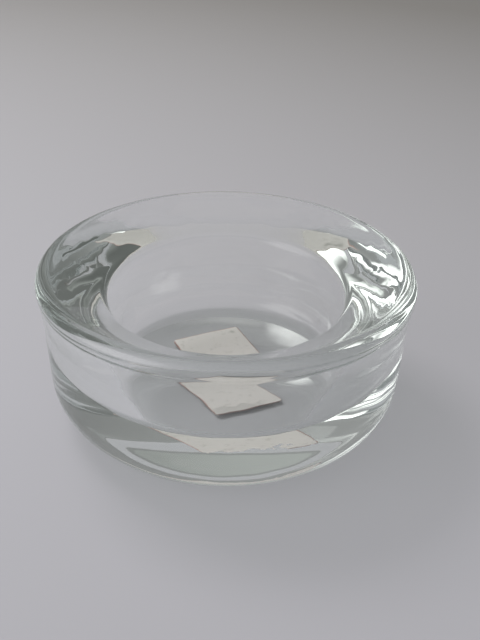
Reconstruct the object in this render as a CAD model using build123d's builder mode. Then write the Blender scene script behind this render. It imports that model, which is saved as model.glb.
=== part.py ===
from build123d import *
import math
import os

# A heavy pressed-glass candle bowl with a blank paper label stuck under its base.
# Millimetres and degrees, +Z up. The origin is on the bowl's axis, on the surface it stands on.

# Rim
rim_diameter = 66.0  # widest circle, round the outside of the bead
bowl_height = 28.8  # from the table to the crest of the rim
bead_radius = 1.9  # round section of the rim's edge
bead_overhang = 0.6  # how far the bead stands out past the line of the wall
hollow_radius = 46.0  # long sweep of the wall out to the bead

# Outer wall and foot
wall_draft = 2.8  # lean of the wall, so that the mould lets go
foot_radius = 10.2  # big round between the wall and the standing ring
ring_width = 0.6  # flat that the bowl stands on
ring_round = 0.3  # round at the inner edge of the standing ring
band_width = 2.2  # sloping band between the standing ring and the dome
dome_edge = 0.25  # height of the dome's edge, at the top of the band
dome_rise = 1.1  # from the dome's edge up to its crown

# Flare and candle well
well_diameter = 41.6  # at the mouth, wider than the floor so that a cup lifts out
well_floor_diameter = 38.0  # takes a tealight cup
well_belly = 0.25  # how far the well's wall bows out between mouth and floor
mouth_drop = 5.3  # from the crest down to where the flare meets the well
mouth_radius = 3.0
floor_thickness = 8.0  # of glass, above the dome's crown
floor_corner_radius = 2.2

# Label, stuck up under the dome and off centre
label_length = 21.7
label_width = 13.7
label_corner_radius = 0.6
label_turn = 114.4  # from +X to the label's long side
label_shift_x = 0.4
label_edge_gap = 1.4  # from the label's far corner to the edge of the dome
paper_thickness = 0.1
adhesive_thickness = 0.05
adhesive_margin = 0.3  # bare edge of paper round the film
bond_gap = 0.06  # clearance that keeps the curved faces of dome, film and paper apart

# Places worked out from the sizes above
rim_radius = rim_diameter / 2
bead_centre_x = rim_radius - bead_radius
bead_centre_z = bowl_height - bead_radius
wall_top_x = rim_radius - bead_overhang
wall_foot_x = wall_top_x - bead_centre_z * math.tan(math.radians(wall_draft))
foot_run = foot_radius / math.tan(math.radians(90 + wall_draft) / 2)
ring_inner_x = wall_foot_x - foot_run - ring_width
dome_x = ring_inner_x - band_width
dome_top_z = dome_edge + dome_rise
floor_z = dome_top_z + floor_thickness
well_floor_x = well_floor_diameter / 2
mouth_x = well_diameter / 2
mouth_z = bowl_height - mouth_drop

# The flare leaves the bead's round section on a tangent and ends at the well's mouth
flare_run = bead_centre_x - mouth_x
flare_rise = bead_centre_z - mouth_z
flare_angle = math.atan2(flare_rise, flare_run) + math.asin(bead_radius / math.hypot(flare_run, flare_rise))
flare_top_x = bead_centre_x - bead_radius * math.sin(flare_angle)
flare_top_z = bead_centre_z + bead_radius * math.cos(flare_angle)

# The dome is part of a sphere, and the label's film and paper are shells about the same centre
dome_radius = (dome_x**2 + dome_rise**2) / (2 * dome_rise)
dome_centre = (0, 0, dome_top_z - dome_radius)
film_radius = dome_radius - bond_gap
paper_radius = film_radius - adhesive_thickness - bond_gap

# The label slides back until its far corner is the gap away from the dome's edge
turn = math.radians(label_turn)
corner_x = label_shift_x + label_length / 2 * math.cos(turn) + label_width / 2 * math.sin(turn)
corner_y = label_length / 2 * math.sin(turn) - label_width / 2 * math.cos(turn)
label_shift_y = math.sqrt((dome_x - label_edge_gap) ** 2 - corner_x**2) - corner_y
label_place = Location((label_shift_x, label_shift_y, 0), (0, 0, label_turn))
poles_level = (90, 0, 0)  # turns a sphere's poles away from the label

os.makedirs("parts", exist_ok=True)

# The bowl is one pressing, drawn as a half section and turned about its axis
with BuildPart() as glass_bowl:
    with BuildSketch(Plane.XZ) as half_section:
        with BuildLine():
            Polyline(
                (well_floor_x, floor_z),
                (0, floor_z),
                (0, dome_top_z),
            )
            TangentArc((0, dome_top_z), (dome_x, dome_edge), tangent=(1, 0))
            Polyline(
                (dome_x, dome_edge),
                (ring_inner_x, 0),
                (wall_foot_x, 0),
                (wall_top_x, bead_centre_z),
                (bead_centre_x, bead_centre_z),
                (flare_top_x, flare_top_z),
                (mouth_x, mouth_z),
            )
            SagittaArc((mouth_x, mouth_z), (well_floor_x, floor_z), well_belly)
        make_face()
        with Locations((bead_centre_x, bead_centre_z)):
            Circle(bead_radius)
        fillet(half_section.vertices().sort_by_distance((well_floor_x, floor_z))[0], floor_corner_radius)
        fillet(half_section.vertices().sort_by_distance((mouth_x, mouth_z))[0], mouth_radius)
        fillet(half_section.vertices().sort_by_distance((wall_foot_x, 0))[0], foot_radius)
        fillet(half_section.vertices().sort_by_distance((ring_inner_x, 0))[0], ring_round)
        bead_root = (wall_top_x, bead_centre_z - bead_radius)
        fillet(half_section.vertices().sort_by_distance(bead_root)[0], hollow_radius)
    revolve(axis=Axis.Z)
glass_bowl.part.label = "glass_bowl"
export_step(glass_bowl.part, "parts/glass_bowl.step")

# Film of adhesive against the dome
with BuildPart() as label_adhesive:
    with BuildSketch(Plane.XY * label_place):
        RectangleRounded(
            label_length - 2 * adhesive_margin,
            label_width - 2 * adhesive_margin,
            label_corner_radius,
        )
    extrude(amount=dome_top_z)
    with Locations(dome_centre):
        Sphere(film_radius, rotation=poles_level, mode=Mode.INTERSECT)
        Sphere(film_radius - adhesive_thickness, rotation=poles_level, mode=Mode.SUBTRACT)
label_adhesive.part.label = "label_adhesive"
export_step(label_adhesive.part, "parts/label_adhesive.step")

# Blank paper, held by the film
with BuildPart() as base_label:
    with BuildSketch(Plane.XY * label_place):
        RectangleRounded(label_length, label_width, label_corner_radius)
    extrude(amount=dome_top_z)
    with Locations(dome_centre):
        Sphere(paper_radius, rotation=poles_level, mode=Mode.INTERSECT)
        Sphere(paper_radius - paper_thickness, rotation=poles_level, mode=Mode.SUBTRACT)
base_label.part.label = "base_label"
export_step(base_label.part, "parts/base_label.step")
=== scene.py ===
import math
import bpy
from mathutils import Matrix, Vector, noise


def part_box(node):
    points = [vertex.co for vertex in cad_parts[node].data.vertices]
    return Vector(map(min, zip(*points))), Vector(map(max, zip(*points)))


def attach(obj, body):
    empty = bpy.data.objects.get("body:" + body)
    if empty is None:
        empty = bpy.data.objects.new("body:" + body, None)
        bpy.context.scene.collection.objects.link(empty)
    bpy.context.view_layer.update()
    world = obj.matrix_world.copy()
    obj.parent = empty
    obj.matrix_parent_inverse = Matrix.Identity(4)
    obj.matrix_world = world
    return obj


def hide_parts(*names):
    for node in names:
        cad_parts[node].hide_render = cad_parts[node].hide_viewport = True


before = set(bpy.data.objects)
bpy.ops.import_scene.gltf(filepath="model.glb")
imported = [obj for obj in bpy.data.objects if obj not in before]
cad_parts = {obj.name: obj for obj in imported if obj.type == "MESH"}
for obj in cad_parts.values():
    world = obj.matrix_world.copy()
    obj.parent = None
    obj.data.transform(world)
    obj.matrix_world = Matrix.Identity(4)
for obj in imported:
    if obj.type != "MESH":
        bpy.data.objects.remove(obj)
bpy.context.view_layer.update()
mm = 0.001


class Value:
    # a node's output that can be used in sums
    def __init__(self, finish, socket):
        self.finish = finish
        self.socket = socket

    def __add__(self, other):
        return self.finish.maths("ADD", self, other)

    def __radd__(self, other):
        return self.finish.maths("ADD", other, self)

    def __sub__(self, other):
        return self.finish.maths("SUBTRACT", self, other)

    def __rsub__(self, other):
        return self.finish.maths("SUBTRACT", other, self)

    def __mul__(self, other):
        return self.finish.maths("MULTIPLY", self, other)

    def __rmul__(self, other):
        return self.finish.maths("MULTIPLY", other, self)


class Finish:
    # the nodes of a material or of the world; each comes from the add method
    def __init__(self, owner):
        owner.use_nodes = True
        self.owner = owner
        self.tree = owner.node_tree
        self.tree.nodes.clear()

    def add(self, kind, settings, sockets, out=0):
        made = self.tree.nodes.new(kind)
        for name, setting in settings.items():
            if name == "stops":
                setStops(made.color_ramp.elements, setting)
            else:
                setattr(made, name, setting)
        for name, value in sockets.items():
            if isinstance(value, Value):
                self.tree.links.new(value.socket, made.inputs[name])
            else:
                made.inputs[name].default_value = value
        return Value(self, made.outputs[out]) if made.outputs else None

    def maths(self, operation, *terms):
        return self.add("ShaderNodeMath", {"operation": operation}, dict(enumerate(terms)))

    def vectors(self, operation, *terms, out="Vector"):
        return self.add("ShaderNodeVectorMath", {"operation": operation}, dict(enumerate(terms)), out)

    def axis(self, vector, letter):
        return self.add("ShaderNodeSeparateXYZ", {}, {"Vector": vector}, letter)

    def place(self, kind="Object"):
        return self.add("ShaderNodeTexCoord", {}, {}, kind)

    def path(self, kind):
        return self.add("ShaderNodeLightPath", {}, {}, kind)

    def grain(self, place, scale, detail=4.0, rough=0.55, bend=0.0):
        sockets = {
            "Vector": place,
            "Scale": scale,
            "Detail": detail,
            "Roughness": rough,
            "Distortion": bend,
        }
        return self.add("ShaderNodeTexNoise", {}, sockets, "Fac")

    def ragged(self, place, scale, width):
        return (self.grain(place, scale) - 0.5) * width  # as much to one side as to the other

    def spread(self, value, low, high, kind="SMOOTHSTEP"):
        sockets = {"Value": value, "From Min": low, "From Max": high}
        return self.add("ShaderNodeMapRange", {"interpolation_type": kind}, sockets)

    def tint(self, share, first, second):
        sockets = {0: share, 6: first, 7: second}  # 6, 7 and 2 are the colours among its sockets
        return self.add("ShaderNodeMix", {"data_type": "RGBA"}, sockets, 2)

    def relief(self, height, strength, depth):
        return self.add("ShaderNodeBump", {}, {"Height": height, "Strength": strength, "Distance": depth})

    def close(self, surface, volume=None):
        isWorld = isinstance(self.owner, bpy.types.World)
        sockets = {"Surface": surface}
        if volume:
            sockets["Volume"] = volume
        self.add("ShaderNodeOutputWorld" if isWorld else "ShaderNodeOutputMaterial", {}, sockets)
        return self.owner


def setStops(elements, stops):
    while len(elements) < len(stops):
        elements.new(1.0)
    for element, (place, colour) in zip(elements, stops):
        element.position = place
        element.color = colour


def newMaterial(name):
    return Finish(bpy.data.materials.new(name))


def addObject(name, data):
    made = bpy.data.objects.new(name, data)
    bpy.context.scene.collection.objects.link(made)
    return made


def addMesh(name, points, faces, material):
    mesh = bpy.data.meshes.new(name)
    mesh.from_pydata(points, [], faces)
    mesh.materials.append(material)
    mesh.shade_smooth()
    return addObject(name, mesh)


# Camera, at the photograph's viewing angle
viewpoint = {
    "picture": (480, 640),  # pixels
    "lens": 950.0,  # focal length in those pixels
    "sensor": 36.0,  # millimetres along the picture's longer side
    "distance": 168.50 * mm,
    "elevation": 29.43,  # degrees, as the roll is
    "roll": -1.02,
    "aimHeight": 22.43 * mm,  # a point on the bowl's axis
    "aimPixel": (225.92, 295.44),  # where that point stands in the picture
    "clipStart": 5 * mm,
}


def turned(vector, axis, angle):
    return Matrix.Rotation(angle, 3, axis) @ vector


def addCamera(view):
    rise = math.radians(view["elevation"])
    back = Vector((0, -math.cos(rise), math.sin(rise)))
    right = Vector((1, 0, 0))
    ahead, up = -back, right.cross(-back)
    # turned aside, so that the aim stands at its pixel
    across = math.atan((view["aimPixel"][0] - view["picture"][0] / 2) / view["lens"])
    down = math.atan((view["aimPixel"][1] - view["picture"][1] / 2) / view["lens"])
    ahead, up = turned(ahead, right, down), turned(up, right, down)
    ahead, right = turned(ahead, up, across), turned(right, up, across)
    roll = math.radians(view["roll"])
    right, up = turned(right, ahead, roll), turned(up, ahead, roll)
    data = bpy.data.cameras.new("viewpoint")
    data.sensor_width = view["sensor"]
    data.lens = view["lens"] / max(view["picture"]) * view["sensor"]
    data.clip_start = view["clipStart"]
    camera = addObject("viewpoint", data)
    camera.matrix_world = Matrix((right, up, -ahead)).transposed().to_4x4()
    camera.location = back * view["distance"] + Vector((0, 0, view["aimHeight"]))
    bpy.context.scene.camera = camera


addCamera(viewpoint)
print("camera placed")


# The glass, a body of revolution; millimetres until it is turned
_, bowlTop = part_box("glass_bowl")
bowlShape = {
    "rimRadius": bowlTop.x / mm,
    "height": bowlTop.z / mm,
    "beadRadius": 1.9,  # round section of the rim
    "beadOverhang": 0.6,  # past the line of the wall
    "hollowRadius": 46.0,  # sweep of the wall out to the bead
    "draft": 2.8,  # degrees that the wall leans
    "footRadius": 10.2,
    "ringInside": 20.8,  # inner edge of the standing ring
    "ringRound": 0.3,
    "domeRadius": 18.6,  # edge of the dome under the base
    "domeEdge": 0.25,  # height of that edge over the table
    "domeRise": 1.1,
    "mouth": 20.8,  # where the flare meets the well
    "mouthDrop": 5.3,
    "mouthRound": 3.0,
    "wellFloor": 19.0,
    "wellBelly": 0.25,  # how far the well's side bows out
    "floorHeight": 9.35,
    "floorRound": 2.2,
    "arcs": {  # edges along each arc of the section
        "dome": 40,
        "ring": 6,
        "foot": 40,
        "hollow": 16,
        "bead": 28,
        "mouth": 20,
        "floor": 20,
    },
    "segments": 324,  # points round each ring
    "axisTouch": 1e-6,  # a ring smaller than this is one point
    "step": 0.3,  # longest edge along the section
    "calmStep": 1.0,  # and below waveFrom
    "wave": 0.05,  # how far the pressed skin wanders from the turned form
    "waveLength": 6.0,
    "waveFrom": 14.0,  # height below which the skin is calmer
    "waveFade": 8.0,
    "calmWave": 0.5,  # share of the wander there
    "calmFrom": 1.5,  # height below which the skin is true
    "calmFade": 3.5,
    "fineTimes": 2.3,  # a second, finer wander
    "fineShift": (31.0, 7.0, 3.0),  # so that the two don't line up
    "fineShare": 0.4,
}


def arcPoints(centre, radius, start, end, count):
    points = []
    for i in range(count + 1):
        angle = start + (end - start) * i / count
        points.append((centre[0] + radius * math.cos(angle), centre[1] + radius * math.sin(angle)))
    return points


def roundCorner(before, corner, after, radius, count):
    corner = Vector(corner)
    back = (Vector(before) - corner).normalized()
    on = (Vector(after) - corner).normalized()
    half = back.angle(on) / 2
    centre = corner + (back + on).normalized() * (radius / math.sin(half))
    first = corner + back * (radius / math.tan(half)) - centre
    last = corner + on * (radius / math.tan(half)) - centre
    start = math.atan2(first.y, first.x)
    turn = (math.atan2(last.y, last.x) - start + math.pi) % (2 * math.pi) - math.pi
    return arcPoints(centre, radius, start, start + turn, count)


def domeHeight(radius, shape):
    sphere = (shape["domeRadius"] ** 2 + shape["domeRise"] ** 2) / (2 * shape["domeRise"])
    return shape["domeEdge"] + shape["domeRise"] - sphere + math.sqrt(sphere ** 2 - radius ** 2)


def flareLine(bead, mouth, radius):
    # leaves the bead on a tangent and ends at the mouth
    run, rise = bead[0] - mouth[0], bead[1] - mouth[1]
    slope = math.atan2(rise, run) + math.asin(radius / math.hypot(run, rise))
    return slope, (bead[0] - radius * math.sin(slope), bead[1] + radius * math.cos(slope))


def wallSweep(wallFoot, wallTop, bead, shape):
    # the wall sweeps out to the bead on an arc that touches both
    along = (Vector(wallTop) - Vector(wallFoot)).normalized()
    out = Vector((along.y, -along.x))
    toBead = Vector(bead) - Vector(wallFoot)
    aside = shape["hollowRadius"] - toBead.dot(out)
    reach = toBead.dot(along) - math.sqrt((shape["hollowRadius"] + shape["beadRadius"]) ** 2 - aside ** 2)
    centre = Vector(wallFoot) + along * reach + out * shape["hollowRadius"]
    start = math.atan2(-out.y, -out.x) % (2 * math.pi)
    end = math.atan2(bead[1] - centre.y, bead[0] - centre.x) % (2 * math.pi)
    return centre, start, end


def bowlSection(shape):
    # from the dome's crown, round the outside and over the rim, to the middle of the well's floor
    arcs = shape["arcs"]
    bead = (shape["rimRadius"] - shape["beadRadius"], shape["height"] - shape["beadRadius"])
    wallTop = (shape["rimRadius"] - shape["beadOverhang"], bead[1])
    wallFoot = (wallTop[0] - bead[1] * math.tan(math.radians(shape["draft"])), 0)
    domeEdge = (shape["domeRadius"], shape["domeEdge"])
    ringEdge = (shape["ringInside"], 0)
    mouth = (shape["mouth"], shape["height"] - shape["mouthDrop"])
    floorEdge = (shape["wellFloor"], shape["floorHeight"])
    floorMiddle = (0, shape["floorHeight"])
    hollow, hollowStart, hollowEnd = wallSweep(wallFoot, wallTop, bead, shape)
    slope, flareTop = flareLine(bead, mouth, shape["beadRadius"])
    beadStart, beadEnd = hollowEnd - math.pi, slope + math.pi / 2
    radii = [shape["domeRadius"] * i / arcs["dome"] for i in range(arcs["dome"] + 1)]
    points = [(radius, domeHeight(radius, shape)) for radius in radii]
    points += roundCorner(domeEdge, ringEdge, wallFoot, shape["ringRound"], arcs["ring"])
    points += roundCorner(ringEdge, wallFoot, wallTop, shape["footRadius"], arcs["foot"])
    points += arcPoints(hollow, shape["hollowRadius"], hollowStart, hollowEnd, arcs["hollow"])
    points += arcPoints(bead, shape["beadRadius"], beadStart, beadEnd, arcs["bead"])[1:]
    points += roundCorner(flareTop, mouth, floorEdge, shape["mouthRound"], arcs["mouth"])
    points += roundCorner(mouth, floorEdge, floorMiddle, shape["floorRound"], arcs["floor"])
    return points + [floorMiddle]


def evenLine(points, step, calmStep=None, calmBelow=-math.inf):
    # more points, so that no edge is longer than its step
    even = [points[0]]
    for start, end in zip(points, points[1:]):
        longest = calmStep if max(start[1], end[1]) < calmBelow else step
        count = max(1, math.ceil(math.dist(start, end) / longest))
        even += [tuple(Vector(start).lerp(Vector(end), i / count)) for i in range(1, count + 1)]
    return even


def bellyOut(points, shape):
    low, high = shape["floorHeight"], shape["height"] - shape["mouthDrop"]
    crest = points.index(max(points, key=lambda point: point[1]))  # the well's side is past it
    bowed = points[:crest]
    for radius, height in points[crest:]:
        share = (height - low) / (high - low)
        if share < 1:
            radius += 4 * shape["wellBelly"] * share * (1 - share)  # the whole bow halfway up
        bowed.append((radius, height))
    return bowed


def sectionNormals(section):
    normals = []
    for i in range(len(section)):
        before, after = section[max(i - 1, 0)], section[min(i + 1, len(section) - 1)]
        along = (Vector(after) - Vector(before)).normalized()
        normals.append((along.y, -along.x))
    return normals


def risingShare(value, start, length):
    return min(max((value - start) / length, 0.0), 1.0)


def skinWander(point, shape):
    place = point / shape["waveLength"]
    broad = noise.noise(place)
    fine = noise.noise(place * shape["fineTimes"] + Vector(shape["fineShift"]))
    low = risingShare(point.z, shape["calmFrom"], shape["calmFade"])
    high = risingShare(point.z, shape["waveFrom"], shape["waveFade"])
    share = shape["calmWave"] * low + (1 - shape["calmWave"]) * high
    return shape["wave"] * share * (broad + shape["fineShare"] * fine)


def ringFaces(low, high, count):
    # between two rings of points, either of which may be a single point
    faces = []
    for this in range(count):
        other = (this + 1) % count
        below = [low[this % len(low)], low[other % len(low)]]
        above = [high[other % len(high)], high[this % len(high)]]
        faces.append(list(dict.fromkeys(below + above)))
    return faces


def turnSection(name, section, shape, material):
    points, faces, rings = [], [], []
    for (radius, height), (outward, upward) in zip(section, sectionNormals(section)):
        count = shape["segments"] if radius > shape["axisTouch"] else 1
        rings.append(range(len(points), len(points) + count))
        for i in range(count):
            angle = 2 * math.pi * i / shape["segments"]
            way = Vector((math.cos(angle), math.sin(angle), 0))
            point = way * radius + Vector((0, 0, height))
            away = skinWander(point, shape)
            points.append((point + way * outward * away + Vector((0, 0, upward * away))) * mm)
    for low, high in zip(rings, rings[1:]):
        faces += ringFaces(low, high, shape["segments"])
    return addMesh(name, points, faces, material)


glassFinish = {
    "ior": 1.52,
    "tint": (0.80, 0.95, 0.86, 1),  # faint green of plain soda-lime glass
    "tintDensity": 5.0,
    "haze": 0.006,  # roughness where it has been handled
    "hazeGrain": 90.0,
    "hazeFrom": 0.55,
    "hazeTo": 0.75,
    "ripple": 0.02,
    "rippleGrain": 260.0,
    "rippleDepth": 0.02 * mm,
    "turns": 3.5,  # a ray is followed through fewer reflections than this
    "letOut": (0.84, 0.845, 0.84, 1),  # share that each face lets straight on
}


def clearGlass(look):
    nodes = newMaterial("clearGlass")
    place = nodes.place()
    haze = nodes.grain(place, look["hazeGrain"], detail=3.0)
    handled = nodes.spread(haze, look["hazeFrom"], look["hazeTo"])
    ripple = nodes.grain(place, look["rippleGrain"], detail=2.0)
    glass = nodes.add("ShaderNodeBsdfPrincipled", {}, {
        "Base Color": (1, 1, 1, 1),
        "Roughness": handled * look["haze"],
        "IOR": look["ior"],
        "Transmission Weight": 1.0,
        "Normal": nodes.relief(ripple, look["ripple"], look["rippleDepth"]),
    })
    # light goes on to the table, and a ray caught between the faces is let out
    out = nodes.add("ShaderNodeBsdfTransparent", {}, {"Color": look["letOut"]})
    toTable = nodes.path("Is Shadow Ray") + nodes.path("Is Diffuse Ray")
    caught = nodes.maths("GREATER_THAN", nodes.path("Glossy Depth"), look["turns"])
    share = nodes.maths("MAXIMUM", toTable, caught)
    surface = nodes.add("ShaderNodeMixShader", {}, {0: share, 1: glass, 2: out})
    sockets = {"Color": look["tint"], "Density": look["tintDensity"]}
    return nodes.close(surface, nodes.add("ShaderNodeVolumeAbsorption", {}, sockets))


section = bowlSection(bowlShape)
section = evenLine(section, bowlShape["step"], bowlShape["calmStep"], bowlShape["waveFrom"])
section = bellyOut(section, bowlShape)
bowl = turnSection("glassBowl", section, bowlShape, clearGlass(glassFinish))
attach(bowl, "root")
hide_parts("glass_bowl")
print("glass turned,", len(bowl.data.vertices), "points")


# The label: a paper face and the film of adhesive that wets the glass above it
paperLow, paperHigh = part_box("base_label")
labelShape = {
    "place": (paperLow + paperHigh) / 2,
    "turn": 114.4,  # degrees from the right to the label's length
    "length": 21.7 * mm,
    "width": 13.7 * mm,
    "corner": 0.6 * mm,
    "cornerEdges": 5,
    "edgeStep": 0.3 * mm,  # longest edge along the cut
    "rows": 40,  # rings of points from the middle to the cut
    "filmMargin": 0.05 * mm,  # bare paper round the film
    "filmTop": 0.02 * mm,  # height over the dome, as the next two are; the film wets the glass
    "filmBottom": -0.11 * mm,
    "paperBottom": -0.27 * mm,
}


def labelOutline(shape, margin):
    corner, quarter = shape["corner"], math.pi / 2
    endways = (shape["length"] - 2 * margin) / 2 - corner
    sideways = (shape["width"] - 2 * margin) / 2 - corner
    middles = [(endways, sideways), (-endways, sideways), (-endways, -sideways), (endways, -sideways)]
    edge = []
    for number, middle in enumerate(middles):
        edge += arcPoints(middle, corner, number * quarter, (number + 1) * quarter, shape["cornerEdges"])
    return evenLine(edge + edge[:1], shape["edgeStep"])[:-1]


liftShape = {
    "drop": 0.06 * mm,  # how far the film hangs where it has let go of the glass
    "depth": 2.4 * mm,  # reach of the loose strip from the short front edge
    "start": -2.5 * mm,  # where along that edge it begins
    "fade": 3.0 * mm,
    "bay": 1.5 * mm,  # size of its bays
    "bayShare": 0.6,
    "spotSize": 0.9 * mm,
    "spotSlice": 40 * mm,  # height at which the spots' noise is cut
    "spotReach": 8.0 * mm,
    "spotLevel": 0.38,
}


def liftAt(x, y, length, lift):
    # a ragged strip along the short front edge, and a few loose spots behind it
    inside = x + length / 2
    bays = noise.noise(Vector((x, y, 0)) / lift["bay"])
    along = risingShare(y, lift["start"], lift["fade"])
    strip = inside < lift["depth"] * along * (1 + lift["bayShare"] * bays)
    spots = noise.noise(Vector((x, y, lift["spotSlice"])) / lift["spotSize"])
    spots *= max(1 - inside / lift["spotReach"], 0.0)
    return lift["drop"] if strip or spots > lift["spotLevel"] else 0.0


def labelSpots(outline, rows):
    # the middle, and then the outline at each size
    spots = [(0.0, 0.0)]
    for row in range(1, rows + 1):
        spots += [(x * row / rows, y * row / rows) for x, y in outline]
    return spots


def underDome(x, y, height, shape):
    # a spot of the label, in its place; height is over the dome
    spot = turned(Vector((x, y, 0)), "Z", math.radians(shape["turn"]))
    spot += Vector((shape["place"].x, shape["place"].y, 0))
    spot.z = domeHeight(spot.length / mm, bowlShape) * mm + height
    return spot


def addLabelLayer(name, shape, margin, low, high, lift, material):
    outline = labelOutline(shape, margin)
    count, rows = len(outline), shape["rows"]
    points, faces, cuts = [], [], []
    for height, loose, order in ((low, None, 1), (high, lift, -1)):
        start = len(points) + 1
        for x, y in labelSpots(outline, rows):
            drop = liftAt(x, y, shape["length"], loose) if loose else 0.0
            points.append(underDome(x, y, height - drop, shape))
        rings = [range(start - 1, start)]
        rings += [range(start + row * count, start + (row + 1) * count) for row in range(rows)]
        for inner, outer in zip(rings, rings[1:]):
            faces += [face[::order] for face in ringFaces(inner, outer, count)]
        cuts.append(rings[-1])
    faces += ringFaces(cuts[0], cuts[1], count)
    return addMesh(name, points, faces, material)


markLook = {
    "edgeShade": (0.40, 0.25, 0.23, 1),  # painted shade and coloured light: dark reddish brown along the cut, standing for the thin dark line and pinkish fringe at the label's edge
    "cutWidth": 0.32 * mm,
    "cutGrain": 900.0,
    "smudge": (0.36, 0.35, 0.33, 1),
    "smudgePlace": (9.2 * mm, -5.1 * mm, 0),  # from the label's middle, along its length and across
    "smudgeSize": 0.9 * mm,
    "smudgeGrain": 1500.0,
    "smudgeShare": 0.8,
}


def marked(nodes, colour, shape, look):
    # painted shade in brown along the cut, and one small smudge, in the label's own directions
    turn = (0, 0, math.radians(shape["turn"]))
    sockets = {"Vector": nodes.place(), "Location": shape["place"], "Rotation": turn}
    own = nodes.add("ShaderNodeMapping", {"vector_type": "TEXTURE"}, sockets)
    half = (shape["length"] / 2, shape["width"] / 2, 0)
    past = nodes.vectors("SUBTRACT", nodes.vectors("ABSOLUTE", own), half)
    pastCut = nodes.maths("MAXIMUM", nodes.axis(past, "X"), nodes.axis(past, "Y"))
    pastCut = pastCut + nodes.ragged(own, look["cutGrain"], look["cutWidth"])
    edgeShade = nodes.spread(pastCut, -look["cutWidth"], 0.0)
    away = nodes.vectors("DISTANCE", own, look["smudgePlace"], out="Value")
    away = away + nodes.ragged(own, look["smudgeGrain"], look["smudgeSize"])
    smudge = nodes.spread(away, look["smudgeSize"], 0.0)
    # painted shade and coloured light along the cut
    browned = nodes.tint(edgeShade, colour, look["edgeShade"])
    return nodes.tint(smudge * look["smudgeShare"], browned, look["smudge"])


paperFinish = {
    # the paper's own colour, set greyer than the white label: in part painted shade, for the shade it
    # lies in under the glass
    "paper": (0.68, 0.66, 0.63, 1),
    "fibre": (0.60, 0.57, 0.54, 1),
    "fibreGrain": 2600.0,
    "fibreFrom": 0.35,
    "fibreTo": 0.7,
    "roughness": 0.75,
    "fibreRoughness": 0.2,
    "gloss": 0.2,
    "relief": 0.3,
    "reliefDepth": 0.02 * mm,
}


def labelPaper(look):
    nodes = newMaterial("labelPaper")
    fibre = nodes.grain(nodes.place(), look["fibreGrain"], detail=6.0, rough=0.7, bend=0.6)
    shows = nodes.spread(fibre, look["fibreFrom"], look["fibreTo"])
    colour = nodes.tint(shows, look["paper"], look["fibre"])
    return nodes.close(nodes.add("ShaderNodeBsdfPrincipled", {}, {
        "Base Color": marked(nodes, colour, labelShape, markLook),
        "Roughness": look["roughness"] + fibre * look["fibreRoughness"],
        "Specular IOR Level": look["gloss"],
        "Normal": nodes.relief(fibre, look["relief"], look["reliefDepth"]),
    }))


filmFinish = {
    # the film's own mottle of wet and dry, both set greyer than the white label: in part painted shade,
    # for the shade under the glass
    "wet": (0.65, 0.615, 0.60, 1),
    "dry": (0.55, 0.52, 0.50, 1),
    "blotchGrain": 700.0,
    "speckGrain": 3200.0,
    "speckShare": 0.3,
    "dryFrom": 0.68,
    "dryTo": 0.86,
    "roughness": 0.9,
    "drySmooth": 0.2,  # how much less rough it is where it is dry
    "gloss": 0.0,
    "relief": 0.1,
    "reliefDepth": 0.02 * mm,
}


def adhesiveFilm(look):
    nodes = newMaterial("adhesiveFilm")
    place = nodes.place()
    blotch = nodes.grain(place, look["blotchGrain"], detail=5.0, rough=0.6, bend=0.4)
    speck = nodes.grain(place, look["speckGrain"], detail=2.0)
    dry = nodes.spread(blotch + speck * look["speckShare"], look["dryFrom"], look["dryTo"])
    colour = nodes.tint(dry, look["wet"], look["dry"])
    return nodes.close(nodes.add("ShaderNodeBsdfPrincipled", {}, {
        "Base Color": marked(nodes, colour, labelShape, markLook),
        "Roughness": look["roughness"] - dry * look["drySmooth"],
        "Specular IOR Level": look["gloss"],
        "Normal": nodes.relief(blotch, look["relief"], look["reliefDepth"]),
    }))


paper = addLabelLayer(
    "labelPaper",
    labelShape,
    margin=0.0,
    low=labelShape["paperBottom"],
    high=labelShape["filmBottom"],
    lift=None,
    material=labelPaper(paperFinish),
)
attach(paper, "root")
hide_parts("base_label")
film = addLabelLayer(
    "labelAdhesive",
    labelShape,
    margin=labelShape["filmMargin"],
    low=labelShape["filmBottom"],
    high=labelShape["filmTop"],
    lift=liftShape,
    material=adhesiveFilm(filmFinish),
)
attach(film, "root")
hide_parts("label_adhesive")
print("label stuck")


# Table, room and lamp
# painted shade: the table's colour fades from near to far, standing for the light falling off over the
# table
tableLook = {
    "half": 3.0,  # metres from the bowl to each side
    "below": 0.05 * mm,  # air under the standing ring
    "near": (0.47, 0.466, 0.50, 1),
    "far": (0.25, 0.24, 0.23, 1),
    "shadeWay": (0.36, 0.93, 0),  # painted shade: the table's colour darkens this way, the far right being the dark side
    "shadeFrom": -0.015,  # metres that way from the bowl's axis
    "shadeTo": 0.34,
    "roughness": 0.55,
    "cloudRoughness": 0.15,
    "cloudGrain": 9.0,
    "gloss": 0.3,
}


def tableTop(look):
    nodes = newMaterial("tableTop")
    place = nodes.place()
    cloud = nodes.grain(place, look["cloudGrain"], detail=3.0)
    away = nodes.vectors("DOT_PRODUCT", place, look["shadeWay"], out="Value")
    # painted shade, the table's colour darkening towards the far right
    fade = nodes.spread(away, look["shadeFrom"], look["shadeTo"], "LINEAR")
    return nodes.close(nodes.add("ShaderNodeBsdfPrincipled", {}, {
        "Base Color": nodes.tint(fade, look["near"], look["far"]),
        "Roughness": look["roughness"] + cloud * look["cloudRoughness"],
        "Specular IOR Level": look["gloss"],
    }))


def addTable(look):
    half = look["half"]
    corners = [(-half, -half), (half, -half), (half, half), (-half, half)]
    points = [(x, y, -look["below"]) for x, y in corners]
    return addMesh("table", points, [(0, 1, 2, 3)], tableTop(look))


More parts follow.
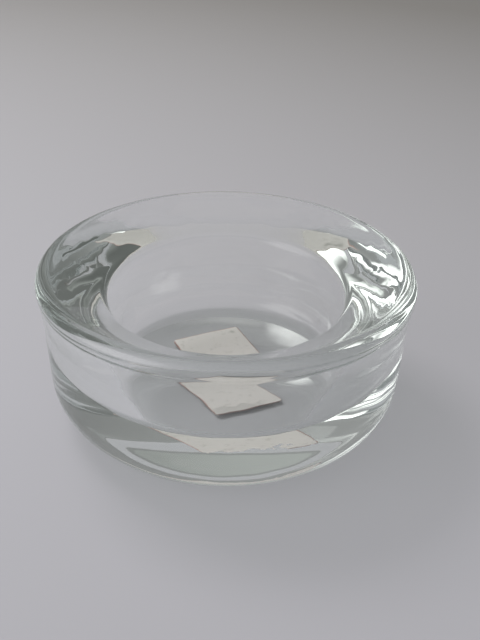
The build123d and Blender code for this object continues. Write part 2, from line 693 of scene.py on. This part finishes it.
window = {  # a soft disc of light; its angles are in degrees
    "colour": (2.1, 2.1, 2.08, 1),
    "turn": -112.0,  # from the far side towards the right
    "rise": 30.0,
    "core": 10.0,  # from its middle to where it begins to fade
    "edge": 31.0,  # and to where it ends
}


def withWindow(nodes, way, behind, look):
    turn, rise = math.radians(look["turn"]), math.radians(look["rise"])
    middle = (math.sin(turn) * math.cos(rise), math.cos(turn) * math.cos(rise), math.sin(rise))
    near = nodes.vectors("DOT_PRODUCT", way, middle, out="Value")
    glow = nodes.spread(near, math.cos(math.radians(look["edge"])), math.cos(math.radians(look["core"])))
    return nodes.tint(glow, behind, look["colour"])


room = {
    "walls": [  # tones from the horizon to overhead
        (0.0, (0.26, 0.26, 0.26, 1)),
        (0.35, (0.27, 0.27, 0.27, 1)),
        (0.64, (0.30, 0.30, 0.30, 1)),
        (0.80, (0.46, 0.46, 0.455, 1)),
    ],
    "dimSide": (0.12, 0.125, 0.12, 1),  # the room's right
    "dimFrom": -0.2,  # on a scale from -1, full left, to 1, full right
    "dimTo": 1.1,
}


def addRoom(look, opening):
    world = bpy.data.worlds.new("room")
    bpy.context.scene.world = world
    nodes = Finish(world)
    way = nodes.place("Generated")
    walls = nodes.add("ShaderNodeValToRGB", {"stops": look["walls"]}, {"Fac": nodes.axis(way, "Z")})
    dim = nodes.spread(nodes.axis(way, "X"), look["dimFrom"], look["dimTo"])
    lit = withWindow(nodes, way, nodes.tint(dim, walls, look["dimSide"]), opening)
    nodes.close(nodes.add("ShaderNodeBackground", {}, {"Color": lit}))


lamp = {
    "place": (-0.26, 0.24, 0.50),  # metres from the bowl
    "size": 0.24,
    "power": 2.6,  # watts
    "colour": (1.0, 0.99, 0.98),
}


def addLamp(look):
    data = bpy.data.lights.new("overheadLamp", "AREA")
    data.size = look["size"]
    data.energy = look["power"]
    data.color = look["colour"]
    made = addObject("overheadLamp", data)
    made.location = look["place"]
    made.rotation_euler = Vector(look["place"]).to_track_quat("Z", "Y").to_euler()  # shines at the bowl
    made.visible_glossy = False  # the glass shows the room alone
    made.visible_transmission = False


table = addTable(tableLook)
addRoom(room, window)
addLamp(lamp)
bpy.context.scene.view_settings.view_transform = "Standard"
print("table, room and lamp set")
